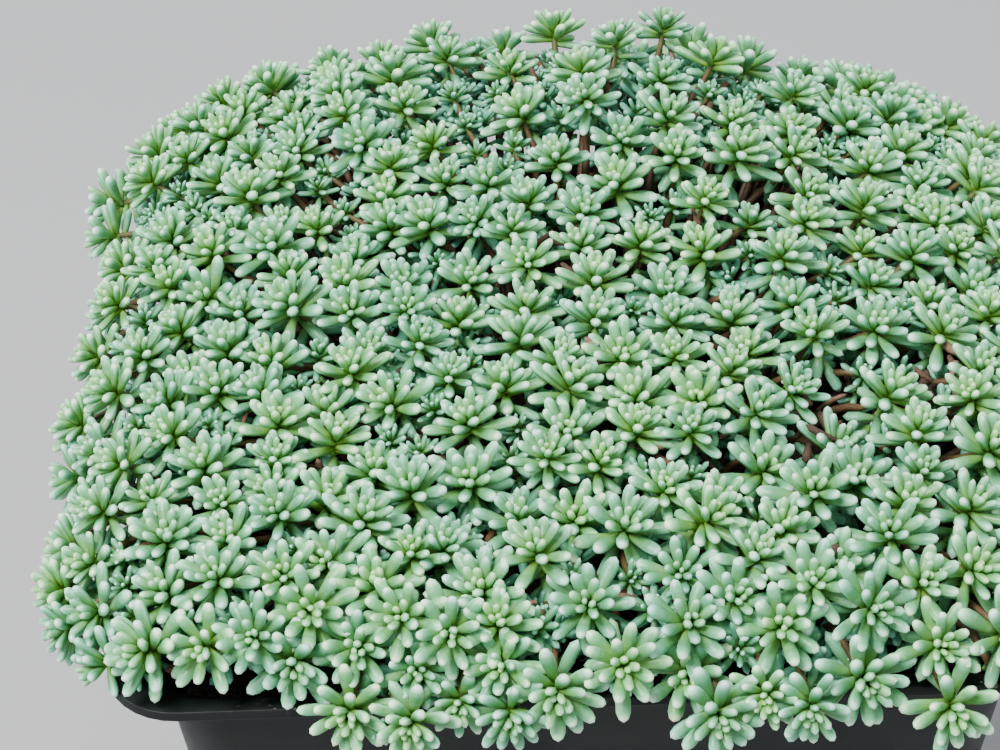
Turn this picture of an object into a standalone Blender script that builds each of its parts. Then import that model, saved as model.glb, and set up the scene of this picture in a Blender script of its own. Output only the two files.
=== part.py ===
"""A potted sedum: a square nursery pot, its potting mix and a mat of small fleshy rosettes.

Each clump is a crown that stands in a hole in the mix, with a few stems that rise from it and
end in a rosette. The rosettes cover one curved surface, a low dome that rolls down over the lip.
"""

import math
import random

import bmesh
import bpy
import numpy as np
from mathutils import Matrix, Quaternion, Vector

# Pot, in metres: a 4.5 inch square pot of thin plastic with rounded corners and a flared lip
BASE_HALF = 0.0415
FOOT_RISE = 0.0018
BODY_TOP_HALF = 0.0515
BODY_TOP = 0.0845
FLARE_RADIUS = 0.0070
FLARE_ANGLES = (25, 53, 80)
CORNER_SHARE = 0.16
CORNER_SEGMENTS = 3
WALL = 0.0012
DRAIN_COUNT = 8
DRAIN_RADIUS = 0.0042
DRAIN_REACH = 0.031
DRAIN_SIDES = 8

# Potting mix
GAP = 0.0003
MIX_TOP = 0.0860
MIX_DOME = 0.0030
MIX_LUMP = 0.0011
MIX_LUMP_LENGTH = 0.027
MIX_RINGS = (0.8, 0.52, 0.22)
MIX_FOOT = 0.0060
HOLE_DEPTH = 0.0080
HOLE_OVERRUN = 0.0040

# Mat: flat coordinates run over its unrolled surface, from the middle to the hanging edge
MAT_REACH = 0.0745
MAT_FLAT = 0.0555
MAT_ROLL = 0.0125
MAT_SQUARENESS = 4.6
MAT_MIDDLE = (0.0015, 0.0057)
MAT_TOP = 0.1030
DOME_RISE = 0.0020
SWELLS = ((0.0082, 0.005, 0.046, 0.0215), (0.0025, -0.034, 0.055, 0.0130),
          (-0.0034, 0.046, 0.061, 0.0140))
RIPPLE_RISE = 0.0009
RIPPLE_LENGTH = 0.034

# Rosettes, a little larger than life: flat places of the leading ones, the rest fill in evenly
LEADING_PLACES = ((-0.054, -0.060), (-0.036, -0.063), (-0.006, -0.068), (0.009, -0.067),
                  (0.020, -0.062), (0.030, -0.068), (-0.026, -0.054), (-0.014, -0.055),
                  (-0.015, -0.037), (0.006, -0.023), (-0.050, 0.004))
LEADING_SIZE = 1.1
ROSETTE_COUNT = 178
CLUMP_COUNT = 30
SETTLE_ROUNDS = 40
SAMPLE_STEP = 0.0018
SIZE_VARIATION = 0.08
HEIGHT_VARIATION = 0.0007
NEIGHBOUR_RANGE = 0.03
CELL_MARGIN = 0.00018
ROLL_TRIES = 12
SEED = 3

# Bud and leaf tiers: elevation above the rosette's plane in degrees, and longest reach
BUD_SIDES = 4
LEADING_BUD_SIDES = 5
BUD_RADIUS = 0.00125
BUD_HEIGHT = 0.0016
BUD_TIP = 0.0017
OUTER_TIER = (8, 0.0072)
UPPER_TIER = (31, 0.0062)
LEAF_WIDTH = 0.0026
LEAF_FLAT = 0.0004
TIP_RISE = 0.0004
SHOULDER_AT = 0.73
LEAF_TURN = 4
LEAF_TILT = 4
LEAF_TESTS = (0.5, 0.73, 1.0)

# Stems, and the dense heart and crown of a clump
STEM_RADIUS = 0.0007
STEM_SINK = 0.0008
HEART_DEPTH = 0.0052
HEART_SHARE = 0.6
HEART_MARGIN = 0.0015
HEART_SIDES = 8
HEART_LIFT = 0.0004
HEART_CELL_SHARE = 0.44
HEART_TESTS = (0.0, 0.1, 0.2, 0.3, 0.4, 0.5, 0.6)
STEM_ROOM = 0.0009
DRAW_STEPS = 20
DRAW_IN = 0.94
CROWN_SHARE = 0.62
CROWN_TOP_RADIUS = 0.0026
CROWN_FOOT_RADIUS = 0.0016
CROWN_RISE = 0.0014
CLEARANCE = 0.0012

rng = random.Random(SEED)


def clear_scene():
    for old in list(bpy.data.objects):
        bpy.data.objects.remove(old, do_unlink=True)


def collection(name):
    made = bpy.data.collections.new(name)
    bpy.context.scene.collection.children.link(made)
    return made


def material(name, colour, roughness, metallic=0.0):
    made = bpy.data.materials.new(name)
    made.use_nodes = True
    shader = made.node_tree.nodes["Principled BSDF"]
    shader.inputs["Base Color"].default_value = (*colour, 1.0)
    shader.inputs["Roughness"].default_value = roughness
    shader.inputs["Metallic"].default_value = metallic
    return made


def black_plastic():
    return material("black_plastic", (0.012, 0.015, 0.015), 0.38)


def potting_mix():
    return material("potting_mix", (0.045, 0.030, 0.020), 0.95)


def sedum_green():
    return material("sedum_green", (0.27, 0.48, 0.25), 0.55)


def add_object(name, bm, into, finish=None):
    mesh = bpy.data.meshes.new(name)
    bm.to_mesh(mesh)
    bm.free()
    made = bpy.data.objects.new(name, mesh)
    into.objects.link(made)
    if finish is not None:
        mesh.materials.append(finish)
    return made


def apply_modifiers(thing):
    """Replaces the object's mesh by its evaluated one and drops its modifiers."""
    depsgraph = bpy.context.evaluated_depsgraph_get()
    mesh = bpy.data.meshes.new_from_object(thing.evaluated_get(depsgraph))
    thing.modifiers.clear()
    thing.data = mesh


def combine(target, others, operation):
    """Joins or cuts the object with all that the collection holds, and removes the collection."""
    boolean = target.modifiers.new(others.name, "BOOLEAN")
    boolean.operation = operation
    boolean.operand_type = "COLLECTION"
    boolean.collection = others
    apply_modifiers(target)
    for other in list(others.objects):
        bpy.data.objects.remove(other, do_unlink=True)
    bpy.data.collections.remove(others)


def add_cutter(name, into, sides, foot_radius, top_radius, foot, top, x, y):
    """An upright tapered plug that makes a hole from one height to another."""
    bm = bmesh.new()
    bmesh.ops.create_cone(bm, cap_ends=True, segments=sides, radius1=foot_radius,
                          radius2=top_radius, depth=top - foot)
    bmesh.ops.translate(bm, verts=bm.verts[:], vec=(x, y, (top + foot) / 2))
    cutter = add_object(name, bm, into)
    cutter.display_type = "WIRE"
    cutter.hide_render = True


# Pot
def pot_profile():
    """Half width and height of each ring of the pot's outer side, from the base to the lip."""
    rings = [(BASE_HALF, 0.0), (BASE_HALF + FOOT_RISE, FOOT_RISE), (BODY_TOP_HALF, BODY_TOP)]
    for degrees in FLARE_ANGLES:
        turn = math.radians(degrees)
        half = BODY_TOP_HALF + FLARE_RADIUS * (1 - math.cos(turn))
        rings.append((half, BODY_TOP + FLARE_RADIUS * math.sin(turn)))
    return rings


def pot_half(height):
    """Half width of the pot's outer side at a height on its straight body."""
    foot_half = BASE_HALF + FOOT_RISE
    share = (height - FOOT_RISE) / (BODY_TOP - FOOT_RISE)
    return foot_half + share * (BODY_TOP_HALF - foot_half)


def rounded_square(bm, half, height):
    """One face, square with rounded corners, at a height."""
    bmesh.ops.create_grid(bm, x_segments=1, y_segments=1, size=half)
    bmesh.ops.bevel(bm, geom=bm.verts[:], offset=half * CORNER_SHARE, segments=CORNER_SEGMENTS,
                    profile=0.5, affect="VERTICES")
    bmesh.ops.translate(bm, verts=bm.verts[:], vec=(0, 0, height))


def raise_rings(bm, rings):
    """Draws the open edge up through each half width and height in turn."""
    half, height = rings[0]
    edges = [edge for edge in bm.edges if edge.is_boundary]
    for next_half, next_height in rings[1:]:
        grown = bmesh.ops.extrude_edge_only(bm, edges=edges)["geom"]
        verts = [item for item in grown if isinstance(item, bmesh.types.BMVert)]
        edges = [item for item in grown if isinstance(item, bmesh.types.BMEdge)
                 and all(vert in set(verts) for vert in item.verts)]
        scale = next_half / half
        bmesh.ops.scale(bm, verts=verts, vec=(scale, scale, 1))
        bmesh.ops.translate(bm, verts=verts, vec=(0, 0, next_height - height))
        half, height = next_half, next_height
    return edges


def make_pot(parts, finish):
    """One thin shell drawn up from the base and out to the lip, with drain holes in the base."""
    bm = bmesh.new()
    rings = pot_profile()
    rounded_square(bm, *rings[0])
    raise_rings(bm, rings)
    bmesh.ops.recalc_face_normals(bm, faces=bm.faces[:])
    base = min(bm.faces, key=lambda face: face.calc_center_median().z)
    if base.normal.z > 0:
        bmesh.ops.reverse_faces(bm, faces=bm.faces[:])
    pot = add_object("pot", bm, parts, finish)
    shell = pot.modifiers.new("wall", "SOLIDIFY")
    shell.thickness = WALL
    shell.offset = -1
    shell.use_even_offset = True
    drains = collection("drain_cutters")
    for index in range(DRAIN_COUNT):
        turn = 2 * math.pi * index / DRAIN_COUNT
        reach = DRAIN_REACH * (math.sqrt(2) if index % 2 else 1)
        add_cutter(f"drain_cutter_{index + 1}", drains, DRAIN_SIDES, DRAIN_RADIUS, DRAIN_RADIUS,
                   -WALL, 2 * WALL, reach * math.cos(turn), reach * math.sin(turn))
    combine(pot, drains, "DIFFERENCE")


# Mat surface
def mat_share(u, v):
    """How far a flat place lies from the middle to the edge of a rounded square, from 0 to 1."""
    power = MAT_SQUARENESS
    return (abs(u) ** power + abs(v) ** power) ** (1 / power) / MAT_REACH


def swell_height(x, y, swell):
    """A broad soft rise or dip of the mat around one place."""
    rise, middle_x, middle_y, spread = swell
    return rise * math.exp(-((x - middle_x) ** 2 + (y - middle_y) ** 2) / (2 * spread ** 2))


def mat_point(u, v):
    """The place on the mat's curved surface of a flat place."""
    share = mat_share(u, v)
    along = share * MAT_REACH
    turn = max(0.0, along - MAT_FLAT) / MAT_ROLL
    reach = min(along, MAT_FLAT) + MAT_ROLL * math.sin(turn)
    scale = reach / along if along > 0 else 1.0
    x, y = u * scale, v * scale
    wave = 2 * math.pi / RIPPLE_LENGTH
    ripple = math.sin(wave * x + 1.1) * math.cos(wave * 0.8 * y + 0.4)
    z = MAT_TOP + DOME_RISE * (1 - share ** 2) + RIPPLE_RISE * ripple
    z += sum(swell_height(x, y, swell) for swell in SWELLS)
    return Vector((x + MAT_MIDDLE[0], y + MAT_MIDDLE[1], z - MAT_ROLL * (1 - math.cos(turn))))


def mat_normal(u, v):
    step = 0.0005
    du = mat_point(u + step, v) - mat_point(u - step, v)
    dv = mat_point(u, v + step) - mat_point(u, v - step)
    return du.cross(dv).normalized()


def settle_rosettes():
    """Flat places and sizes of the rosettes: the leading ones stay, the others move apart."""
    places = list(LEADING_PLACES)
    sizes = [LEADING_SIZE] * len(places)
    while len(places) < ROSETTE_COUNT:
        trial = (rng.uniform(-MAT_REACH, MAT_REACH), rng.uniform(-MAT_REACH, MAT_REACH))
        if mat_share(*trial) < 1:
            places.append(trial)
            sizes.append(rng.uniform(1 - SIZE_VARIATION, 1 + SIZE_VARIATION))
    places, sizes = np.array(places), np.array(sizes)
    steps = np.arange(-MAT_REACH, MAT_REACH, SAMPLE_STEP)
    samples = np.array([(u, v) for u in steps for v in steps if mat_share(u, v) < 1])
    for _ in range(SETTLE_ROUNDS):
        away = np.linalg.norm(samples[:, None, :] - places[None, :, :], axis=-1) / sizes
        nearest = away.argmin(1)
        for index in range(len(LEADING_PLACES), ROSETTE_COUNT):
            mine = samples[nearest == index]
            if len(mine):
                places[index] = mine.mean(0)
    return places, sizes


def gather_clumps(places):
    """Splits the rosettes among the clumps by the nearest clump middle."""
    row = 2 * MAT_REACH / math.sqrt(CLUMP_COUNT)
    order = sorted(places, key=lambda place: (round(place[1] / row), place[0]))
    middles = np.array([order[int((number + 0.5) * len(order) / CLUMP_COUNT)]
                        for number in range(CLUMP_COUNT)])
    for _ in range(SETTLE_ROUNDS):
        nearest = np.linalg.norm(places[:, None, :] - middles[None, :, :], axis=-1).argmin(1)
        for index in range(CLUMP_COUNT):
            middles[index] = places[nearest == index].mean(0)
    return middles, nearest


# Rosettes
def square_distance(x, y, half):
    """How far a place lies outside a rounded square, seen from above; negative inside."""
    corner = half * CORNER_SHARE
    across, deep = abs(x) - half + corner, abs(y) - half + corner
    return math.hypot(max(across, 0), max(deep, 0)) + min(max(across, deep), 0) - corner


def clears_pot(point):
    """Whether a point above the mix keeps clear of the flare and the lip."""
    lip_half, lip_top = pot_profile()[-1]
    if point.z > lip_top + WALL + CLEARANCE:
        return True
    if square_distance(point.x, point.y, lip_half) > CLEARANCE:
        return True
    radius = FLARE_RADIUS + WALL
    rise = min(max(point.z - BODY_TOP, 0) / radius, 1)
    inner_half = BODY_TOP_HALF + FLARE_RADIUS - radius * math.sqrt(1 - rise ** 2)
    return square_distance(point.x, point.y, inner_half) < -CLEARANCE


def leaf_reach(place, neighbours, along, across, longest):
    """The longest leaf along a direction that keeps to the rosette's own room."""
    reach = longest
    for toward, room in neighbours:
        side = abs(across.dot(toward)) * LEAF_WIDTH / 2
        forward = along.dot(toward)
        if forward > 1e-6:
            reach = min(reach, room / forward, (room - side) / (SHOULDER_AT * forward))
    half = across * LEAF_WIDTH / 2
    for _ in range(DRAW_STEPS):
        if not all(clears_pot(place + along * reach * part + side)
                   for part in LEAF_TESTS for side in (-half, half)):
            reach *= DRAW_IN
    return reach


def draw_leaf(bm, face, along, up, length):
    """Draws one bud face out into a three-sided leaf, widest past its middle, to a blunt tip."""
    foot = face.calc_center_median()
    across = along.cross(up).normalized()
    grown = bmesh.ops.extrude_discrete_faces(bm, faces=[face])["faces"][0]
    left, ridge, right = sorted(grown.verts, key=lambda vert: (vert.co - foot).dot(across))
    keel = 1 if (ridge.co - foot).dot(up) > 0 else -1
    shoulder = foot + along * length * SHOULDER_AT - up * keel * LEAF_FLAT
    left.co = shoulder - across * LEAF_WIDTH / 2
    right.co = shoulder + across * LEAF_WIDTH / 2
    ridge.co = foot + along * length + up * keel * TIP_RISE


def make_bud(sides):
    """A small drum whose top is turned half a step, so its sides are two tiers of triangles."""
    bm = bmesh.new()
    bmesh.ops.create_cone(bm, cap_ends=True, segments=sides, radius1=BUD_RADIUS,
                          radius2=BUD_RADIUS * 0.9, depth=BUD_HEIGHT)
    bm.normal_update()
    walls = [face for face in bm.faces if abs(face.normal.z) < 0.5]
    top = [vert for vert in bm.verts if vert.co.z > 0]
    bmesh.ops.rotate(bm, verts=top, cent=(0, 0, 0), matrix=Matrix.Rotation(math.pi / sides, 3, "Z"))
    bmesh.ops.triangulate(bm, faces=walls, quad_method="SHORT_EDGE")
    return bm


def leaf_frame(axis, flat, rise):
    """Directions along a leaf, and up from its flat side, at an elevation in radians."""
    along = flat * math.cos(rise) + axis * math.sin(rise)
    return along, axis * math.cos(rise) - flat * math.sin(rise)


def best_roll(place, axis, first, neighbours, sides):
    """The turn about the axis that gives the leaves most room between the neighbours."""
    best, most = 0.0, 0.0
    for trial in range(ROLL_TRIES):
        roll = 2 * math.pi / sides * trial / ROLL_TRIES
        total = 0.0
        for index in range(2 * sides):
            turn = roll + math.pi / sides * index
            flat = Quaternion(axis, turn) @ first
            elevation, longest = UPPER_TIER if index % 2 else OUTER_TIER
            along, up = leaf_frame(axis, flat, math.radians(elevation))
            total += leaf_reach(place, neighbours, along, along.cross(up), longest)
        if total > most:
            best, most = roll, total
    return best


def make_rosette(name, into, place, axis, neighbours, sides, stem_end):
    """One leafy stem: a bud with two tiers of leaves, and the stem down into its crown."""
    first = axis.orthogonal().normalized()
    roll = best_roll(place, axis, first, neighbours, sides)
    # The lower triangles of the bud face the middles of its lower edges
    turned = Quaternion(axis, roll - math.pi / sides) @ first
    second = axis.cross(turned)
    bm = make_bud(sides)
    under, crest = sorted((face for face in bm.faces if len(face.verts) == sides),
                          key=lambda face: face.calc_center_median().z)
    tiers = {face: UPPER_TIER if face.calc_center_median().z > 0 else OUTER_TIER
             for face in bm.faces if len(face.verts) == 3}
    for vert in bm.verts:
        local = vert.co.copy()
        vert.co = place + turned * local.x + second * local.y + axis * local.z
    bm.normal_update()
    for face, (elevation, longest) in tiers.items():
        foot = face.calc_center_median()
        flat = foot - place
        flat = (flat - axis * flat.dot(axis)).normalized()
        flat = Quaternion(axis, math.radians(rng.uniform(-LEAF_TURN, LEAF_TURN))) @ flat
        rise = math.radians(elevation + rng.uniform(-LEAF_TILT, LEAF_TILT))
        along, up = leaf_frame(axis, flat, rise)
        reach = leaf_reach(place, neighbours, along, along.cross(up), longest)
        draw_leaf(bm, face, along, up, reach - (foot - place).dot(along))
    tip = bmesh.ops.poke(bm, faces=[crest])["verts"][0]
    tip.co += axis * BUD_TIP
    bmesh.ops.triangulate(bm, faces=[face for face in bm.faces if face is not under])
    middle = under.calc_center_median()
    for vert in bmesh.ops.extrude_discrete_faces(bm, faces=[under])["faces"][0].verts:
        vert.co = stem_end + (vert.co - middle).normalized() * STEM_RADIUS
    add_object(name, bm, into)


def make_heart(name, into, finish, crown, rim):
    """The crown in its hole, and the dense heart that widens from it under the rosettes."""
    foot = crown.z - CROWN_RISE - HOLE_DEPTH + GAP
    bm = bmesh.new()
    bmesh.ops.create_cone(bm, cap_ends=True, segments=HEART_SIDES, radius1=CROWN_FOOT_RADIUS,
                          radius2=CROWN_TOP_RADIUS, depth=crown.z - foot)
    bmesh.ops.translate(bm, verts=bm.verts[:], vec=(crown.x, crown.y, (crown.z + foot) / 2))
    top = max(bm.faces, key=lambda face: face.calc_center_median().z)
    grown = bmesh.ops.extrude_discrete_faces(bm, faces=[top])["faces"][0]
    for vert in grown.verts:
        turn = math.atan2(vert.co.y - crown.y, vert.co.x - crown.x) % (2 * math.pi)
        vert.co = rim[round(turn / (2 * math.pi) * HEART_SIDES) % HEART_SIDES]
    bmesh.ops.triangulate(bm, faces=[face for face in bm.faces if len(face.verts) == 4])
    return add_object(name, bm, into, finish)


def heart_rim(crown, heart, axis, roots, others):
    """Corners of the heart's flat top: just wide enough for the stems, and clear of the rest."""
    turn = Vector((0, 0, 1)).rotation_difference(axis)
    rim = []
    for index in range(HEART_SIDES):
        angle = 2 * math.pi * index / HEART_SIDES
        direction = turn @ Vector((math.cos(angle), math.sin(angle), 0))
        reach = max(0.0, *(root.dot(direction) for root in roots)) + HEART_MARGIN
        for apart in others:
            if apart.dot(direction) > 0:
                reach = min(reach, HEART_CELL_SHARE * apart.length_squared / apart.dot(direction))
        for _ in range(DRAW_STEPS):
            if not all(clears_pot((heart + direction * reach).lerp(crown, part))
                       for part in HEART_TESTS):
                reach *= DRAW_IN
        rim.append(heart + direction * reach)
    return rim


def on_heart(root, heart, axis, rim):
    """Whether a stem's foot stands on the heart's top, away from its edges."""
    for corner, following in zip(rim, rim[1:] + rim[:1]):
        inward = axis.cross(following - corner).normalized()
        if (heart + root - corner).dot(inward) < STEM_ROOM:
            return False
    return True


def room_around(index, rosettes):
    """Directions to the nearby rosettes, and the room left to this one in each."""
    place, _, size = rosettes[index]
    room = []
    for other, (other_place, _, other_size) in enumerate(rosettes):
        apart = other_place - place
        if other != index and apart.length < NEIGHBOUR_RANGE:
            share = size / (size + other_size)
            room.append((apart.normalized(), apart.length * share - CELL_MARGIN))
    return room


def make_clump(name, parts, finish, middle, middles, members, rosettes):
    """One clump: a crown in its hole in the mix, its heart and its rosettes, joined as one body."""
    x, y = middle * CROWN_SHARE
    crown = Vector((x, y, mix_height(x, y) + CROWN_RISE))
    axis = mat_normal(*middle)
    heart = mat_point(*middle) - axis * HEART_DEPTH
    for _ in range(DRAW_STEPS):
        if not clears_pot(heart - Vector((0, 0, HEART_LIFT))):
            heart += axis * HEART_LIFT
    steps = [rosettes[index][0] - heart for index in members]
    roots = [(step - axis * step.dot(axis)) * HEART_SHARE for step in steps]
    others = [mat_point(*other) - axis * HEART_DEPTH - heart for other in middles
              if tuple(other) != tuple(middle)]
    rim = heart_rim(crown, heart, axis, roots, others)
    clump = make_heart(name, parts, finish, crown, rim)
    stems = collection(f"{name}_stems")
    for index, root in zip(members, roots):
        for _ in range(DRAW_STEPS):
            if not on_heart(root, heart, axis, rim):
                root = root * DRAW_IN
        sides = LEADING_BUD_SIDES if index < len(LEADING_PLACES) else BUD_SIDES
        foot = heart + root - axis * STEM_SINK
        place, rosette_axis, _ = rosettes[index]
        make_rosette(f"{name}_stem_{index}", stems, place, rosette_axis,
                     room_around(index, rosettes), sides, foot)
    combine(clump, stems, "UNION")


# Potting mix
def mix_height(x, y):
    """Height of the mix's lumpy top."""
    wave = 2 * math.pi / MIX_LUMP_LENGTH
    lump = math.sin(wave * x + 0.7) * math.sin(wave * y + 2.1)
    edge = max(abs(x), abs(y)) / BODY_TOP_HALF
    return MIX_TOP + MIX_DOME * (1 - edge ** 2) + MIX_LUMP * lump


def make_mix(parts, finish, middles):
    """The mix fills the pot to just under the lip, with a hole for each clump's crown."""
    bm = bmesh.new()
    inset = WALL + 1.5 * GAP
    side_top = BODY_TOP - GAP
    start = (BASE_HALF - inset - GAP, WALL + GAP)
    rounded_square(bm, *start)
    top_half = pot_half(side_top) - inset
    rings = [start, (pot_half(MIX_FOOT) - inset, MIX_FOOT), (top_half, side_top)]
    rings += [(top_half * share, side_top) for share in MIX_RINGS]
    inner_edges = raise_rings(bm, rings)
    bmesh.ops.contextual_create(bm, geom=inner_edges)
    widest = top_half * (1 + MIX_RINGS[0]) / 2
    for vert in bm.verts:
        if vert.co.z > MIX_TOP / 2 and max(abs(vert.co.x), abs(vert.co.y)) < widest:
            vert.co.z = mix_height(vert.co.x, vert.co.y)
    bmesh.ops.recalc_face_normals(bm, faces=bm.faces[:])
    bmesh.ops.triangulate(bm, faces=bm.faces[:])
    mix = add_object("potting_mix", bm, parts, finish)
    holes = collection("hole_cutters")
    taper = (CROWN_TOP_RADIUS - CROWN_FOOT_RADIUS) / (CROWN_RISE + HOLE_DEPTH)
    foot_radius = CROWN_FOOT_RADIUS + 2 * GAP
    top_radius = foot_radius + taper * (HOLE_OVERRUN + HOLE_DEPTH)
    for number, middle in enumerate(middles, start=1):
        x, y = middle * CROWN_SHARE
        ground = mix_height(x, y)
        add_cutter(f"hole_cutter_{number}", holes, HEART_SIDES, foot_radius, top_radius,
                   ground - HOLE_DEPTH, ground + HOLE_OVERRUN, x, y)
    combine(mix, holes, "DIFFERENCE")


def build():
    clear_scene()
    parts = collection("potted_sedum")
    make_pot(parts, black_plastic())
    flat_places, sizes = settle_rosettes()
    middles, owners = gather_clumps(flat_places)
    make_mix(parts, potting_mix(), middles)
    rosettes = []
    for flat, size in zip(flat_places, sizes):
        axis = mat_normal(*flat)
        lift = rng.uniform(-HEIGHT_VARIATION, HEIGHT_VARIATION)
        rosettes.append((mat_point(*flat) + axis * lift, axis, size))
    green = sedum_green()
    for number, middle in enumerate(middles):
        members = [index for index in range(ROSETTE_COUNT) if owners[index] == number]
        make_clump(f"clump_{number + 1:02d}", parts, green, middle, middles, members, rosettes)


build()
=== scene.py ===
import math

import bpy
import numpy as np
from mathutils import Matrix, Quaternion, Vector
from mathutils.kdtree import KDTree


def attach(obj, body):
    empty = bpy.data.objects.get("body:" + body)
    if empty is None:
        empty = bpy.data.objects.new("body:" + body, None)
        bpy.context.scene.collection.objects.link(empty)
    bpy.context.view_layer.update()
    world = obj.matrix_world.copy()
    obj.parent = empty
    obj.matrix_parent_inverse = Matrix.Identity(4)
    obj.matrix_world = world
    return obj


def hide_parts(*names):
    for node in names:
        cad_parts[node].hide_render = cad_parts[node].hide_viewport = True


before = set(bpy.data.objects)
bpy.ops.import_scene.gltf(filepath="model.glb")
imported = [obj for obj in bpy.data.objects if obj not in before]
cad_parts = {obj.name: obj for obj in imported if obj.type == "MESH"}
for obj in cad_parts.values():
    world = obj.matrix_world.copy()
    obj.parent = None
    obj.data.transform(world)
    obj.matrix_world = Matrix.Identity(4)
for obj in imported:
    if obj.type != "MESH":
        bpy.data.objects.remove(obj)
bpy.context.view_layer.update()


# Floor, light and camera
# A pale sheet under the pot, soft light from above and a camera that looks down on the plant from
# in front, a little turned in its mount, as the photograph was taken.
CAMERA_PLACE = (-0.0095, -0.2427, 0.2854)
CAMERA_DOWN = 38.0
CAMERA_ROLL = 2.0
CAMERA_LENS = 82.8
CAMERA_SENSOR = 36.0
FLOOR_SIZE = 6.0
FLOOR_GREY = (0.40, 0.40, 0.41)
SKY_COLOUR = (0.80, 0.84, 0.88, 1.0)
SKY_STRENGTH = 0.92
PLANT_MIDDLE = (0, 0, 0.09)


def flat_material(name, colour, roughness):
    """A new material and its shader, with a colour and roughness set on the shader."""
    made = bpy.data.materials.new(name)
    made.use_nodes = True
    shader = made.node_tree.nodes["Principled BSDF"]
    shader.inputs["Base Color"].default_value = (*colour, 1.0)
    shader.inputs["Roughness"].default_value = roughness
    return made, shader


def soft_light(name, place, size, power, colour):
    """A square lamp that faces the plant."""
    toward = Vector(PLANT_MIDDLE) - Vector(place)
    bpy.ops.object.light_add(type="AREA", location=place,
                             rotation=toward.to_track_quat("-Z", "Y").to_euler())
    lamp = bpy.context.object
    lamp.name = name
    lamp.data.shape = "SQUARE"
    lamp.data.size = size
    lamp.data.energy = power
    lamp.data.color = colour


bpy.ops.object.select_all(action="DESELECT")
bpy.ops.mesh.primitive_plane_add(size=FLOOR_SIZE, location=(0, 0, 0))
floor = bpy.context.object
floor.name = "floor"
floor.data.materials.append(flat_material("pale_floor", FLOOR_GREY, 0.8)[0])

soft_light("light_above", place=(-0.35, -0.30, 0.95), size=0.40, power=19.0,
           colour=(1.0, 0.99, 0.97))
soft_light("light_left", place=(-0.9, -0.5, 0.5), size=0.7, power=3.0,
           colour=(0.95, 0.98, 1.0))
soft_light("light_right", place=(0.9, -0.3, 0.55), size=0.8, power=1.6,
           colour=(1.0, 0.98, 0.96))
soft_light("light_behind", place=(0.2, 0.95, 0.6), size=0.7, power=2.5,
           colour=(0.96, 0.98, 1.0))

sky = bpy.data.worlds.new("studio")
sky.use_nodes = True
sky.node_tree.nodes["Background"].inputs["Color"].default_value = SKY_COLOUR
sky.node_tree.nodes["Background"].inputs["Strength"].default_value = SKY_STRENGTH
bpy.context.scene.world = sky

turn = Matrix.Rotation(math.radians(90 - CAMERA_DOWN), 4, "X")
turn = turn @ Matrix.Rotation(math.radians(-CAMERA_ROLL), 4, "Z")
bpy.ops.object.camera_add(location=CAMERA_PLACE, rotation=turn.to_euler())
camera = bpy.context.object
camera.data.sensor_width = CAMERA_SENSOR
camera.data.lens = CAMERA_LENS
camera.data.clip_start = 0.01
bpy.context.scene.camera = camera


# Pot
# A square nursery pot, moulded in one piece from thin black plastic: a flat base with drain holes,
# sides that widen upwards, and a lip that flares out to a rounded edge.
BASE_HALF = 0.0415
FOOT_RISE = 0.0018
FOOT_STEPS = 3
BODY_TOP_HALF = 0.0515
BODY_TOP = 0.0845
FLARE_RADIUS = 0.0070
FLARE_END = 80
FLARE_STEPS = 9
CORNER_SHARE = 0.16
CORNER_STEPS = 8
WALL = 0.0012
LIP_ROUND = 0.0004
LIP_ROUND_STEPS = 3
SHARP_EDGE = 50
SMOOTH_BELOW = 35
DRAIN_COUNT = 8
DRAIN_SIDES = 24
DRAIN_RADIUS = 0.0042
DRAIN_REACH = 0.031
GRAIN_DETAIL = 2.0
GRAIN_ROUGHNESS = 0.55
GRAIN_BROAD_SHARE = 0.6
PLASTIC_BLACK = (0.006, 0.008, 0.008)
DUST_FILM = (0.060, 0.075, 0.070)
DUST_FILM_SHARE = 0.18
DUST_SPECK = (0.42, 0.43, 0.40)
DUST_SPECK_SCALE = 900.0


def join_nodes(tree, source, target):
    """Links an output socket to an input socket."""
    tree.links.new(source, target)


def add_node(tree, kind, **values):
    """A shader node whose unlinked inputs are set by name, with spaces as underscores."""
    made = tree.nodes.new(kind)
    for name, value in values.items():
        made.inputs[name.replace("_", " ")].default_value = value
    return made


def ramp(tree, source, stops):
    """A colour ramp over a value; stops are pairs of position and colour or grey."""
    made = tree.nodes.new("ShaderNodeValToRGB")
    while len(made.color_ramp.elements) < len(stops):
        made.color_ramp.elements.new(0.5)
    for element, (position, colour) in zip(made.color_ramp.elements, stops):
        element.position = position
        element.color = (colour,) * 3 + (1,) if isinstance(colour, (int, float)) else (*colour, 1)
    join_nodes(tree, source, made.inputs["Fac"])
    return made.outputs["Color"]


def mix_colours(tree, amount, first, second, blend="MIX"):
    """Blends two colours, each a socket or a colour, by a socket or a share."""
    made = tree.nodes.new("ShaderNodeMix")
    made.data_type = "RGBA"
    made.blend_type = blend
    for socket, value in ((made.inputs[0], amount), (made.inputs[6], first),
                          (made.inputs[7], second)):
        if isinstance(value, bpy.types.NodeSocket):
            join_nodes(tree, value, socket)
        elif isinstance(value, (int, float)):
            socket.default_value = value
        else:
            socket.default_value = (*value, 1)
    return made.outputs[2]


def arithmetic(tree, what, *values):
    """A maths node on sockets or numbers."""
    made = tree.nodes.new("ShaderNodeMath")
    made.operation = what
    for socket, value in zip(made.inputs, values):
        if isinstance(value, bpy.types.NodeSocket):
            join_nodes(tree, value, socket)
        else:
            socket.default_value = value
    return made.outputs[0]


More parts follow.
